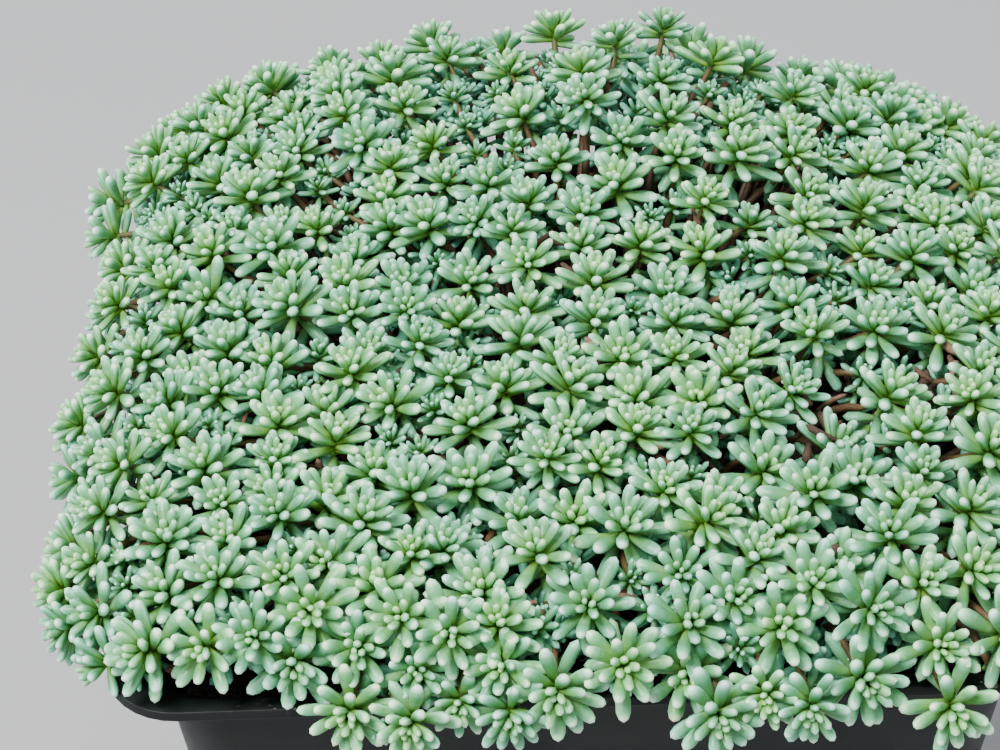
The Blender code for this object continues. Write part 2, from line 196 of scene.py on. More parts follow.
def make_grain():
    """The grain group: broad and fine mottling of a surface, and a height for its bumps."""
    group = bpy.data.node_groups.new("grain", "ShaderNodeTree")
    for name, low, value, high in (("Broad Scale", 1, 200, 20000), ("Fine Scale", 1, 2000, 40000)):
        socket = group.interface.new_socket(name, in_out="INPUT", socket_type="NodeSocketFloat")
        socket.default_value = value
        socket.min_value = low
        socket.max_value = high
    for name in ("Broad", "Fine", "Height"):
        group.interface.new_socket(name, in_out="OUTPUT", socket_type="NodeSocketFloat")
    entry = group.nodes.new("NodeGroupInput")
    leave = group.nodes.new("NodeGroupOutput")
    place = group.nodes.new("ShaderNodeTexCoord")
    found = []
    for name in ("Broad", "Fine"):
        noise = add_node(group, "ShaderNodeTexNoise", Detail=GRAIN_DETAIL,
                         Roughness=GRAIN_ROUGHNESS)
        join_nodes(group, place.outputs["Object"], noise.inputs["Vector"])
        join_nodes(group, entry.outputs[f"{name} Scale"], noise.inputs["Scale"])
        join_nodes(group, noise.outputs["Fac"], leave.inputs[name])
        found.append(noise.outputs["Fac"])
    height = arithmetic(group, "MULTIPLY_ADD", found[0], GRAIN_BROAD_SHARE, found[1])
    join_nodes(group, height, leave.inputs["Height"])
    return group


grain = make_grain()


def use_grain(tree, broad, fine):
    """Places the grain group in a material at its two scales, per metre."""
    made = tree.nodes.new("ShaderNodeGroup")
    made.node_tree = grain
    made.inputs["Broad Scale"].default_value = broad
    made.inputs["Fine Scale"].default_value = fine
    return made


def add_bump(tree, shader, height, strength, distance):
    """Fine relief on a shader's surface, from a height socket."""
    made = add_node(tree, "ShaderNodeBump", Strength=strength, Distance=distance)
    join_nodes(tree, height, made.inputs["Height"])
    join_nodes(tree, made.outputs["Normal"], shader.inputs["Normal"])


def black_plastic():
    """Black plastic, dulled by handling, with pale specks of dust on what faces upwards."""
    made, shader = flat_material("black_plastic", PLASTIC_BLACK, 0.4)
    shader.inputs["Specular IOR Level"].default_value = 0.22
    tree = made.node_tree
    texture = use_grain(tree, 90, 3500)
    facing = tree.nodes.new("ShaderNodeNewGeometry")
    apart = tree.nodes.new("ShaderNodeSeparateXYZ")
    join_nodes(tree, facing.outputs["Normal"], apart.inputs["Vector"])
    upward = ramp(tree, apart.outputs["Z"], ((0.15, 0), (0.7, 1)))
    place = tree.nodes.new("ShaderNodeTexCoord")
    specks = add_node(tree, "ShaderNodeTexVoronoi", Scale=DUST_SPECK_SCALE)
    join_nodes(tree, place.outputs["Object"], specks.inputs["Vector"])
    dots = ramp(tree, specks.outputs["Distance"], ((0.10, 1), (0.22, 0)))
    patches = ramp(tree, texture.outputs["Broad"], ((0.50, 0), (0.66, 1)))
    dust = arithmetic(tree, "MULTIPLY", dots, patches)
    dust = arithmetic(tree, "MULTIPLY", dust, upward)
    film = arithmetic(tree, "MULTIPLY", upward, texture.outputs["Broad"])
    film = arithmetic(tree, "MULTIPLY", film, DUST_FILM_SHARE)
    colour = mix_colours(tree, film, PLASTIC_BLACK, DUST_FILM)
    colour = mix_colours(tree, dust, colour, DUST_SPECK)
    join_nodes(tree, colour, shader.inputs["Base Color"])
    rough = ramp(tree, texture.outputs["Broad"], ((0.3, 0.42), (0.7, 0.60)))
    join_nodes(tree, rough, shader.inputs["Roughness"])
    add_bump(tree, shader, texture.outputs["Height"], 0.12, 0.0001)
    return made


def apply_all(thing):
    """Applies an object's modifiers in order."""
    bpy.context.view_layer.objects.active = thing
    for modifier in list(thing.modifiers):
        bpy.ops.object.modifier_apply(modifier=modifier.name)


def rest_at_origin(thing):
    """Moves an object's place, turn and size into its mesh."""
    bpy.ops.object.select_all(action="DESELECT")
    thing.select_set(True)
    bpy.context.view_layer.objects.active = thing
    bpy.ops.object.transform_apply(location=True, rotation=True, scale=True)


bpy.ops.object.select_all(action="DESELECT")
bpy.ops.mesh.primitive_plane_add(size=2 * BASE_HALF, location=(0, 0, 0))
pot = bpy.context.object
pot.name = "nursery_pot"
bpy.ops.object.mode_set(mode="EDIT")
bpy.ops.mesh.select_all(action="SELECT")
bpy.ops.mesh.bevel(offset=BASE_HALF * CORNER_SHARE, offset_type="OFFSET", segments=CORNER_STEPS,
                   profile=0.5, affect="VERTICES")
rings = [(BASE_HALF, 0.0)]
for step in range(1, FOOT_STEPS + 1):
    rounding = math.radians(90 * step / FOOT_STEPS)
    rings.append((BASE_HALF + FOOT_RISE * math.sin(rounding), FOOT_RISE * (1 - math.cos(rounding))))
rings.append((BODY_TOP_HALF, BODY_TOP))
for step in range(1, FLARE_STEPS + 1):
    rounding = math.radians(FLARE_END * step / FLARE_STEPS)
    rings.append((BODY_TOP_HALF + FLARE_RADIUS * (1 - math.cos(rounding)),
                  BODY_TOP + FLARE_RADIUS * math.sin(rounding)))
for (half, height), (next_half, next_height) in zip(rings, rings[1:]):
    bpy.ops.mesh.extrude_edges_move(
        TRANSFORM_OT_translate={"value": (0, 0, next_height - height)})
    bpy.ops.transform.resize(value=(next_half / half, next_half / half, 1),
                             center_override=(0, 0, 0))
bpy.ops.mesh.select_all(action="SELECT")
bpy.ops.mesh.normals_make_consistent(inside=False)
bpy.ops.object.mode_set(mode="OBJECT")
base = min(pot.data.polygons, key=lambda face: face.center.z)
if base.normal.z > 0:
    pot.data.flip_normals()
shell = pot.modifiers.new("wall", "SOLIDIFY")
shell.thickness = WALL
shell.offset = -1
shell.use_even_offset = True
apply_all(pot)

drains = []
for index in range(DRAIN_COUNT):
    angle = 2 * math.pi * index / DRAIN_COUNT
    reach = DRAIN_REACH * (math.sqrt(2) if index % 2 else 1)
    bpy.ops.mesh.primitive_cylinder_add(vertices=DRAIN_SIDES, radius=DRAIN_RADIUS,
                                        depth=6 * WALL,
                                        location=(reach * math.cos(angle),
                                                  reach * math.sin(angle), 0))
    drains.append(bpy.context.object)
bpy.ops.object.select_all(action="DESELECT")
for drain in drains:
    drain.select_set(True)
bpy.context.view_layer.objects.active = drains[0]
bpy.ops.object.join()
drill = bpy.context.object
rest_at_origin(drill)
cut = pot.modifiers.new("drains", "BOOLEAN")
cut.operation = "DIFFERENCE"
cut.object = drill
apply_all(pot)
bpy.data.objects.remove(drill, do_unlink=True)
softened = pot.modifiers.new("edges", "BEVEL")
softened.width = LIP_ROUND
softened.segments = LIP_ROUND_STEPS
softened.limit_method = "ANGLE"
softened.angle_limit = math.radians(SHARP_EDGE)
apply_all(pot)
rest_at_origin(pot)
bpy.ops.object.shade_smooth_by_angle(angle=math.radians(SMOOTH_BELOW))
pot.data.materials.append(black_plastic())
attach(pot, "root")
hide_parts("pot")


# Potting mix
# Dark crumbly mix of peat, fine bark and a little perlite, poured in to just under the lip. Its
# body is the solid one; loose crumbs lie over its top, where the plant leaves gaps.
MIX_TOP = 0.0860
MIX_DOME = 0.0030
MIX_LUMP = 0.0011
MIX_LUMP_LENGTH = 0.027
MIX_LUMP_PHASES = (0.7, 2.1)
MIX_HALF = 0.0490
CRUMB_COUNT = 1500
CRUMB_RADII = (0.35, 1.25)
CRUMB_FLATNESS = 0.6
CRUMB_LIFT = 0.4
MILLIMETRE = 0.001
PALEST_PEAT = 0.9
PERLITE_SHARE = 0.05
PERLITE_COLOUR = (0.52, 0.51, 0.47)
FACT_COUNT = 4
SEED = 11


def mix_height(x, y):
    """Height of the mix's lumpy top."""
    wave = 2 * math.pi / MIX_LUMP_LENGTH
    lump = math.sin(wave * x + MIX_LUMP_PHASES[0]) * math.sin(wave * y + MIX_LUMP_PHASES[1])
    edge = max(abs(x), abs(y)) / BODY_TOP_HALF
    return MIX_TOP + MIX_DOME * (1 - edge ** 2) + MIX_LUMP * lump


def facts_node(tree):
    """The node that reads the four facts that mesh_of_copies keeps at each point."""
    made = tree.nodes.new("ShaderNodeAttribute")
    made.attribute_name = "facts"
    return made


def crumbly_mix(name, loose):
    """Dark brown mix; each loose crumb has a shade of its own, and a few are pale perlite."""
    made, shader = flat_material(name, (0.03, 0.02, 0.013), 0.95)
    tree = made.node_tree
    texture = use_grain(tree, 350, 2600)
    colour = ramp(tree, texture.outputs["Fine"], ((0.3, (0.010, 0.007, 0.005)),
                                                  (0.55, (0.040, 0.026, 0.017)),
                                                  (0.75, (0.085, 0.055, 0.034))))
    if loose:
        shade = facts_node(tree).outputs["Alpha"]
        own = ramp(tree, shade, ((0.0, (0.35, 0.32, 0.30)),
                                 (PALEST_PEAT, (1.6, 1.5, 1.4))))
        colour = mix_colours(tree, 1.0, colour, own, "MULTIPLY")
        pale = ramp(tree, shade, ((0.945, 0), (0.955, 1)))
        colour = mix_colours(tree, pale, colour, PERLITE_COLOUR)
    join_nodes(tree, colour, shader.inputs["Base Color"])
    add_bump(tree, shader, texture.outputs["Height"], 0.6, 0.0006)
    return made


def mesh_of_copies(name, groups):
    """One mesh from copies of shapes: each group has places, faces and four facts a point."""
    places, facts, corners, sides = [], [], [], []
    before = 0
    for group_places, faces, group_facts in groups:
        copies, points = group_places.shape[:2]
        shift = before + np.arange(copies)[:, None] * points
        corners.append((np.concatenate(faces)[None, :] + shift).reshape(-1))
        sides.append(np.tile([len(face) for face in faces], copies))
        places.append(group_places.reshape(-1))
        facts.append(group_facts.reshape(-1))
        before += copies * points
    corners, sides = np.concatenate(corners), np.concatenate(sides)
    mesh = bpy.data.meshes.new(name)
    mesh.vertices.add(before)
    mesh.vertices.foreach_set("co", np.concatenate(places).astype(np.float32))
    mesh.loops.add(len(corners))
    mesh.loops.foreach_set("vertex_index", corners.astype(np.int32))
    mesh.polygons.add(len(sides))
    mesh.polygons.foreach_set("loop_start", (np.cumsum(sides) - sides).astype(np.int32))
    layer = mesh.attributes.new("facts", "FLOAT_COLOR", "POINT")
    layer.data.foreach_set("color", np.concatenate(facts).astype(np.float32))
    mesh.update(calc_edges=True)
    mesh.validate()
    mesh.polygons.foreach_set("use_smooth", np.ones(len(mesh.polygons), bool))
    return mesh


def shape_of(thing):
    """The points and faces of a modelled object, which is then removed."""
    points = np.array([vert.co[:] for vert in thing.data.vertices])
    faces = [tuple(face.vertices) for face in thing.data.polygons]
    bpy.data.objects.remove(thing, do_unlink=True)
    return points, faces


def place_piece(name, mesh, finish):
    """A visible piece of the plant or the mix, from its mesh and material."""
    made = bpy.data.objects.new(name, mesh)
    bpy.context.scene.collection.objects.link(made)
    mesh.materials.append(finish)
    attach(made, "root")
    return made


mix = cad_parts["potting_mix"]
mix.data.materials.clear()
mix.data.materials.append(crumbly_mix("potting_mix_bed", False))

bpy.ops.object.select_all(action="DESELECT")
bpy.ops.mesh.primitive_ico_sphere_add(subdivisions=1, radius=1.0, location=(0, 0, 0))
crumb = bpy.context.object
bpy.ops.object.mode_set(mode="EDIT")
bpy.ops.mesh.select_all(action="SELECT")
bpy.ops.transform.vertex_random(offset=0.25, uniform=0.5, seed=4)
bpy.ops.object.mode_set(mode="OBJECT")
crumb_points, crumb_faces = shape_of(crumb)

draw = np.random.default_rng(SEED)
spots = draw.uniform(-MIX_HALF, MIX_HALF, (CRUMB_COUNT, 2))
spread = draw.uniform(*CRUMB_RADII, (CRUMB_COUNT, 3)) * MILLIMETRE
spread[:, 2] *= CRUMB_FLATNESS
crumb_places = np.zeros((CRUMB_COUNT, len(crumb_points), 3))
for index, ((x, y), scale) in enumerate(zip(spots, spread)):
    spin = np.array(Quaternion(Vector(draw.normal(size=4))).normalized().to_matrix())
    place = np.array((x, y, mix_height(x, y) + scale[2] * CRUMB_LIFT))
    crumb_places[index] = (crumb_points * scale) @ spin.T + place
shades = draw.uniform(0, 1, CRUMB_COUNT)
shades = np.where(shades < 1 - PERLITE_SHARE, shades * PALEST_PEAT, 1.0)
crumb_facts = np.repeat(shades, FACT_COUNT * len(crumb_points))
crumb_mesh = mesh_of_copies("mix_crumbs", [(crumb_places, crumb_faces, crumb_facts)])
crumbs = place_piece("mix_crumbs", crumb_mesh, crumbly_mix("potting_mix_crumbs", True))


# Rosettes
# Hundreds of leafy shoots of one creeping sedum, grown side by side into a low dome that rolls
# over the lip. Each ends in a tuft of fleshy finger-like leaves, small and upright in the middle,
# longest round the outside, with older and bluer leaves down the shoot and small tufts between.
MAT_REACH = 0.0745
MAT_FLAT = 0.0555
MAT_ROLL = 0.0125
MAT_SQUARENESS = 4.6
MAT_MIDDLE = (0.0015, 0.0057)
MAT_TOP = 0.1030
DOME_RISE = 0.0020
SWELLS = ((0.0082, 0.005, 0.046, 0.0215), (0.0025, -0.034, 0.055, 0.0130),
          (-0.0034, 0.046, 0.061, 0.0140))
RIPPLE_RISE = 0.0009
RIPPLE_LENGTH = 0.034
RIPPLE_STRETCH = 0.8
RIPPLE_PHASES = (1.1, 0.4)
SLOPE_STEP = 0.0005
LEADING_PLACES = ((-0.054, -0.060), (-0.036, -0.063), (-0.006, -0.068), (0.009, -0.067),
                  (0.020, -0.062), (0.030, -0.068), (-0.026, -0.054), (-0.014, -0.055),
                  (-0.015, -0.037), (0.006, -0.023), (-0.050, 0.004))
BARE_PLACES = ((0.001, -0.014), (0.012, -0.030), (0.024, -0.058), (0.045, -0.020), (0.0, 0.012),
               (0.030, -0.024))
BARE_REACH = 0.0052
BARE_CORNER = (-0.036, -0.0645)
LEADING_SIZE = 1.16
ROSETTE_COUNT = 440
ROSETTE_RADIUS = 0.0056
FULL_SIZES = (0.88, 1.14)
SMALL_SIZES = (0.54, 0.70)
SMALL_BELOW = 0.8
SMALL_SHARE = 0.30
SETTLE_ROUNDS = 8
SAMPLE_STEP = 0.0014
OUTWARD_LEAN = 0.40
ROSETTE_SINK = 0.10
DEPTH_SPREAD = 0.0011
SMALL_DEPTHS = (0.0012, 0.0030)
LEAF_COUNT = 22
SMALL_LEAF_COUNT = 15
LEAF_COUNT_SPREAD = 2
OLD_LEAF_COUNT = 7
FULL_AGE = 0.04
FULL_TINTS = (0.25, 0.9)
SMALL_AGE = 0.30
SMALL_TINTS = (0, 0.4)
LOWER_COUNT = 290
LOWER_BACK_COUNT = 100
LOWER_BACK_START = 0.45
LOWER_EDGE = 0.97
LOWER_DEPTHS = (0.0040, 0.0062)
LOWER_RADIUS = 0.0042
LOWER_LEAF_COUNT = 10
LOWER_OLD_LEAF_COUNT = 4
LOWER_AGES = (0.50, 0.70)
LOWER_TINT = 0.2
LIP_ROOM = 0.0005


def mat_share(u, v):
    """How far a flat place lies from the middle to the edge of a rounded square, from 0 to 1."""
    power = MAT_SQUARENESS
    return (abs(u) ** power + abs(v) ** power) ** (1 / power) / MAT_REACH


def swell_height(x, y, swell):
    """A broad soft rise or dip of the mat around one place."""
    rise, middle_x, middle_y, spread = swell
    return rise * math.exp(-((x - middle_x) ** 2 + (y - middle_y) ** 2) / (2 * spread ** 2))


def mat_point(u, v):
    """The place on the mat's curved surface of a flat place."""
    share = mat_share(u, v)
    along = share * MAT_REACH
    turn = max(0.0, along - MAT_FLAT) / MAT_ROLL
    reach = min(along, MAT_FLAT) + MAT_ROLL * math.sin(turn)
    scale = reach / along if along > 0 else 1.0
    x, y = u * scale, v * scale
    wave = 2 * math.pi / RIPPLE_LENGTH
    ripple = (math.sin(wave * x + RIPPLE_PHASES[0])
              * math.cos(wave * RIPPLE_STRETCH * y + RIPPLE_PHASES[1]))
    z = MAT_TOP + DOME_RISE * (1 - share ** 2) + RIPPLE_RISE * ripple
    z += sum(swell_height(x, y, swell) for swell in SWELLS)
    return Vector((x + MAT_MIDDLE[0], y + MAT_MIDDLE[1], z - MAT_ROLL * (1 - math.cos(turn))))


def mat_normal(u, v):
    """The direction straight out of the mat's surface at a flat place."""
    du = mat_point(u + SLOPE_STEP, v) - mat_point(u - SLOPE_STEP, v)
    dv = mat_point(u, v + SLOPE_STEP) - mat_point(u, v - SLOPE_STEP)
    return du.cross(dv).normalized()


def in_bare_corner(u, v):
    """Whether a flat place lies at the front left corner, where the lip is bare."""
    return u < BARE_CORNER[0] and v < BARE_CORNER[1]


def settle_rosettes():
    """Flat places and sizes of the rosettes: the leading ones stay, the others move apart."""
    places = list(LEADING_PLACES)
    sizes = [LEADING_SIZE] * len(places)
    while len(places) < ROSETTE_COUNT:
        trial = draw.uniform(-MAT_REACH, MAT_REACH, 2)
        if mat_share(*trial) < 1:
            places.append(tuple(trial))
            small = draw.uniform() < SMALL_SHARE
            sizes.append(draw.uniform(*(SMALL_SIZES if small else FULL_SIZES)))
    places, sizes = np.array(places), np.array(sizes)
    steps = np.arange(-MAT_REACH, MAT_REACH, SAMPLE_STEP)
    samples = np.array([(u, v) for u in steps for v in steps if mat_share(u, v) < 1])
    for _ in range(SETTLE_ROUNDS):
        away = np.hypot(samples[:, :1] - places[None, :, 0], samples[:, 1:] - places[None, :, 1])
        nearest = (away / sizes).argmin(1)
        held = np.bincount(nearest, minlength=ROSETTE_COUNT)
        for axis in (0, 1):
            total = np.bincount(nearest, samples[:, axis], ROSETTE_COUNT)
            moved = np.where(held > 0, total / np.maximum(held, 1), places[:, axis])
            places[len(LEADING_PLACES):, axis] = moved[len(LEADING_PLACES):]
    return places, sizes


def leaf_green():
    """A fleshy leaf: yellow-green at its foot, blue-green further out, its tip and rim pale."""
    made, shader = flat_material("sedum_leaf", (0.27, 0.48, 0.25), 0.5)
    tree = made.node_tree
    texture = use_grain(tree, 700, 4200)
    facts = facts_node(tree)
    apart = tree.nodes.new("ShaderNodeSeparateColor")
    join_nodes(tree, facts.outputs["Color"], apart.inputs["Color"])
    along, rim, age = apart.outputs[0], apart.outputs[1], apart.outputs[2]
    tint = facts.outputs["Alpha"]
    # Near-white tip stops in both ramps: partly the leaf's pale tip, partly painted highlight.
    young = ramp(tree, along, ((0.0, (0.245, 0.460, 0.060)), (0.35, (0.145, 0.370, 0.086)),
                               (0.68, (0.090, 0.325, 0.140)), (0.84, (0.160, 0.490, 0.265)),
                               (0.97, (0.700, 1.000, 0.800))))
    older = ramp(tree, along, ((0.0, (0.160, 0.380, 0.090)), (0.40, (0.105, 0.350, 0.190)),
                               (0.80, (0.140, 0.470, 0.310)), (1.0, (0.470, 0.880, 0.680))))
    aged = ramp(tree, age, ((0.45, 0), (0.95, 1)))
    colour = mix_colours(tree, aged, young, older)
    fresh = ramp(tree, age, ((0.0, 0.75), (0.22, 0)))
    colour = mix_colours(tree, fresh, colour, (0.300, 0.620, 0.210))
    # Pale band down both sides of the outer leaf: partly waxy bloom, partly painted highlight.
    edge = ramp(tree, rim, ((0.78, 0), (1.0, 1)))
    outer = ramp(tree, along, ((0.30, 0), (0.85, 0.7)))
    colour = mix_colours(tree, arithmetic(tree, "MULTIPLY", edge, outer), colour,
                         (0.380, 0.840, 0.550))
    bloom = ramp(tree, texture.outputs["Broad"], ((0.50, 0), (0.72, 0.30)))
    colour = mix_colours(tree, bloom, colour, (0.300, 0.670, 0.430))
    shade = ramp(tree, tint, ((0.0, (0.66, 0.80, 0.86)), (0.5, (1.0, 1.0, 1.0)),
                              (1.0, (1.20, 1.09, 0.82))))
    colour = mix_colours(tree, 1.0, colour, shade, "MULTIPLY")
    join_nodes(tree, colour, shader.inputs["Base Color"])
    rough = ramp(tree, texture.outputs["Broad"], ((0.3, 0.27), (0.7, 0.43)))
    join_nodes(tree, rough, shader.inputs["Roughness"])
    add_bump(tree, shader, texture.outputs["Height"], 0.25, 0.00012)
    return made


# A leaf's rings, as pairs of distance from its foot and width, and how thick its two sides are.
BROAD_LEAF_SIDES = 8
BROAD_LEAF_RINGS = ((0.0, 0.48), (0.34, 0.74), (0.62, 0.98), (0.82, 0.94), (0.94, 0.62))
SLIM_LEAF_SIDES = 6
SLIM_LEAF_RINGS = ((0.0, 0.55), (0.52, 0.95), (0.85, 0.82))
LEAF_FACE_THICKNESS = 0.72
LEAF_BACK_THICKNESS = 0.95


def model_leaf(sides, widths):
    """A leaf of unit length and width, drawn out ring by ring from its narrow foot to its tip."""
    bpy.ops.object.select_all(action="DESELECT")
    bpy.ops.mesh.primitive_circle_add(vertices=sides, radius=0.5, fill_type="NGON",
                                      location=(0, 0, 0))
    thing = bpy.context.object
    bpy.ops.object.mode_set(mode="EDIT")
    bpy.ops.mesh.select_all(action="SELECT")
    bpy.ops.transform.resize(value=(widths[0][1],) * 3, center_override=(0, 0, 0))
    for (start, width), (end, next_width) in zip(widths, widths[1:]):
        bpy.ops.mesh.extrude_region_move(TRANSFORM_OT_translate={"value": (0, 0, end - start)})
        bpy.ops.transform.resize(value=(next_width / width, next_width / width, 1),
                                 center_override=(0, 0, 0))
    bpy.ops.mesh.extrude_region_move(TRANSFORM_OT_translate={"value": (0, 0, 1 - widths[-1][0])})
    bpy.ops.mesh.merge(type="CENTER")
    bpy.ops.mesh.select_all(action="SELECT")
    bpy.ops.mesh.normals_make_consistent(inside=False)
    bpy.ops.object.mode_set(mode="OBJECT")
    points, faces = shape_of(thing)
    # Length runs along the second axis, the flatter side faces up the third, the other one bulges
    points = points[:, (0, 2, 1)] * (1, 1, -1)
    points[:, 2] = np.where(points[:, 2] > 0, points[:, 2] * LEAF_FACE_THICKNESS,
                            points[:, 2] * LEAF_BACK_THICKNESS)
    half = np.interp(points[:, 1], *zip(*widths, (1.0, widths[-1][1]))) / 2
    rim = np.abs(points[:, 0]) / half
    return points, faces, rim


def in_lip(point):
    """Whether a point lies in the wall of the pot's flared lip or in its upper body."""
    reach = max(abs(point[0]), abs(point[1]))
    if point[2] < BODY_TOP:
        return BODY_TOP_HALF - 2 * WALL < reach < BODY_TOP_HALF + WALL
    away = math.hypot(BODY_TOP_HALF + FLARE_RADIUS - reach, point[2] - BODY_TOP)
    return (reach < BODY_TOP_HALF + FLARE_RADIUS + WALL
            and FLARE_RADIUS - LIP_ROOM < away < FLARE_RADIUS + WALL + LIP_ROOM)


# How a leaf that would reach into the lip is shortened.
CUT_ROUNDS = 12
CUT_SHARE = 0.86
CUT_TEST_PARTS = (0.35, 0.7, 1.0)
SHORTEST_LEAF = 0.0009
LEAF_TINT_SPREAD = 0.12


def add_leaf(leaves, foot, along, up, length, width, arch, age, tint):
    """Notes one leaf, shortened where it would reach into the lip."""
    for _ in range(CUT_ROUNDS):
        if any(in_lip(foot + along * length * part) for part in CUT_TEST_PARTS):
            length *= CUT_SHARE
    if length > SHORTEST_LEAF and not in_lip(foot):
        own_tint = min(max(tint + draw.normal() * LEAF_TINT_SPREAD, 0), 1)
        leaves.append((foot, along, up, length, width, arch, age, own_tint))


def turned_out(axis, first, spin, rise):
    """The directions out, along a leaf and up from its face, for a turn and a rise in degrees."""
    rise = math.radians(rise)
    flat = Quaternion(axis, spin) @ first
    along = flat * math.cos(rise) + axis * math.sin(rise)
    return flat, along, axis * math.cos(rise) - flat * math.sin(rise)


# A rosette's leaves, from its middle outwards: their rise in degrees, and their size and foot as
# shares of its radius. The older leaves down the shoot droop more the lower they stand.
GOLDEN_ANGLE = math.pi * (3 - math.sqrt(5))
AXIS_SPREAD = 0.17
SPIN_SPREAD = 0.10
MIDDLE_RISE = 84
RISE_FALL = 76
RISE_POWER = 0.75
RISE_SPREAD = 5
MIDDLE_LENGTH = 0.26
LENGTH_GAIN = 0.78
LENGTH_POWER = 0.6
LENGTH_SPREAD = (0.88, 1.07)
MIDDLE_WIDTH = 0.168
WIDTH_GAIN = 0.135
WIDTH_POWER = 0.7
WIDTH_SPREAD = (0.92, 1.08)
MIDDLE_FOOT = 0.26
FOOT_FALL = 0.46
FOOT_OUTWARD = 0.05
MIDDLE_ARCH = -0.05
ARCH_GAIN = 0.10
AGE_GAIN = 0.45
BROAD_FROM = 0.35
BROAD_RADIUS = 0.004
OLD_RISE = -6
OLD_FALL = 34
OLD_RISE_SPREAD = 9
OLD_FOOT = 0.25
OLD_SHOOT_LENGTH = 0.0046
OLD_LENGTHS = (0.66, 0.92)
OLD_WIDTHS = (0.26, 0.33)
OLD_ARCH = 0.10
OLD_AGE = 0.72
OLD_AGE_GAIN = 0.28


def grow_rosette(kinds, place, axis, radius, count, age, tint, old_count=OLD_LEAF_COUNT):
    """The leaves of one rosette, from its middle outwards, then the older ones down its shoot."""
    broad, slim = kinds
    axis = (axis + Vector(draw.normal(size=3)) * AXIS_SPREAD).normalized()
    first = axis.orthogonal().normalized()
    start = draw.uniform(0, 2 * math.pi)
    for index in range(count):
        out = index / (count - 1)
        rise = MIDDLE_RISE - RISE_FALL * out ** RISE_POWER + draw.normal() * RISE_SPREAD
        spin = start + GOLDEN_ANGLE * index + draw.normal() * SPIN_SPREAD
        flat, along, up = turned_out(axis, first, spin, rise)
        length = radius * (MIDDLE_LENGTH + LENGTH_GAIN * out ** LENGTH_POWER)
        length *= draw.uniform(*LENGTH_SPREAD)
        width = radius * (MIDDLE_WIDTH + WIDTH_GAIN * out ** WIDTH_POWER)
        width *= draw.uniform(*WIDTH_SPREAD)
        foot = place + axis * radius * (MIDDLE_FOOT - FOOT_FALL * out)
        foot += flat * radius * FOOT_OUTWARD
        kind = broad if out > BROAD_FROM and radius > BROAD_RADIUS else slim
        add_leaf(kind, foot, along, up, length, width, MIDDLE_ARCH + ARCH_GAIN * out,
                 age + AGE_GAIN * out, tint)
    for index in range(old_count):
        down = (index + 0.5) / old_count
        rise = OLD_RISE - OLD_FALL * down + draw.normal() * OLD_RISE_SPREAD
        _, along, up = turned_out(axis, first, start + GOLDEN_ANGLE * (count + index), rise)
        foot = place - axis * (radius * OLD_FOOT + OLD_SHOOT_LENGTH * down)
        length = radius * draw.uniform(*OLD_LENGTHS)
        width = radius * draw.uniform(*OLD_WIDTHS)
        add_leaf(slim, foot, along, up, length, width, OLD_ARCH, OLD_AGE + OLD_AGE_GAIN * down, tint)


def leaf_mesh(name, *kinds):
    """One mesh of all the leaves of a clump, from each kind's list and its modelled shape."""
    groups = []
    for leaves, (points, faces, rim) in kinds:
        foot, along, up = (np.array([leaf[part][:] for leaf in leaves])[:, None]
                           for part in range(3))
        length, width, arch, age, tint = (np.array([leaf[part] for leaf in leaves])[:, None, None]
                                          for part in range(3, 8))
        across = np.cross(along, up)
        x, y, z = points[None, :, :1], points[None, :, 1:2], points[None, :, 2:]
        places = (foot + along * y * length + across * x * width
                  + up * (z * width - arch * length * y ** 2))
        ones = np.ones((len(leaves), len(points), 1))
        facts = np.concatenate((ones * y, ones * rim[None, :, None], ones * age, ones * tint), 2)
        groups.append((places, faces, facts))
    return mesh_of_copies(name, groups)


def nearest_clump(place):
    """The name of the solid clump that has the point nearest to a place."""
    return tips[nearby.find(place)[1]][0]


clumps = sorted(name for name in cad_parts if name.startswith("clump_"))
tips = [(clump, vert.co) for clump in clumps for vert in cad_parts[clump].data.vertices]
nearby = KDTree(len(tips))
for index, (_, place) in enumerate(tips):
    nearby.insert(place, index)
nearby.balance()

broad_leaf = model_leaf(BROAD_LEAF_SIDES, BROAD_LEAF_RINGS)
slim_leaf = model_leaf(SLIM_LEAF_SIDES, SLIM_LEAF_RINGS)
green = leaf_green()
flat_places, sizes = settle_rosettes()
grown = {clump: ([], []) for clump in clumps}
shoots = []
for (u, v), size in zip(flat_places, sizes):
    small = size < SMALL_BELOW
    if small and any(math.hypot(u - bare_u, v - bare_v) < BARE_REACH
                     for bare_u, bare_v in BARE_PLACES):
        continue
    if in_bare_corner(u, v):
        continue
    axis = mat_normal(u, v)
    depth = draw.uniform(*SMALL_DEPTHS) if small else draw.normal() * DEPTH_SPREAD
    lean = Vector((u, v, 0)) / MAT_REACH * OUTWARD_LEAN * mat_share(u, v)
    place = mat_point(u, v) - axis * depth
    radius = ROSETTE_RADIUS * size
    count = SMALL_LEAF_COUNT if small else LEAF_COUNT
    count += int(draw.integers(-LEAF_COUNT_SPREAD, LEAF_COUNT_SPREAD + 1))
    age = SMALL_AGE if small else FULL_AGE
    tint = draw.uniform(*(SMALL_TINTS if small else FULL_TINTS))
    grow_rosette(grown[nearest_clump(place)], place - axis * radius * ROSETTE_SINK, axis + lean,
                 radius, count, age, tint)
    shoots.append((u, v, place, axis, radius))
lower_grown = 0
while lower_grown < LOWER_COUNT:
    u, v = draw.uniform(-MAT_REACH, MAT_REACH, 2)
    if lower_grown < LOWER_BACK_COUNT:
        v = draw.uniform(MAT_REACH * LOWER_BACK_START, MAT_REACH)
    if mat_share(u, v) < LOWER_EDGE and not in_bare_corner(u, v):
        axis = mat_normal(u, v)
        place = mat_point(u, v) - axis * draw.uniform(*LOWER_DEPTHS)
        grow_rosette(grown[nearest_clump(place)], place, axis, LOWER_RADIUS, LOWER_LEAF_COUNT,
                     draw.uniform(*LOWER_AGES), LOWER_TINT, old_count=LOWER_OLD_LEAF_COUNT)
        lower_grown += 1
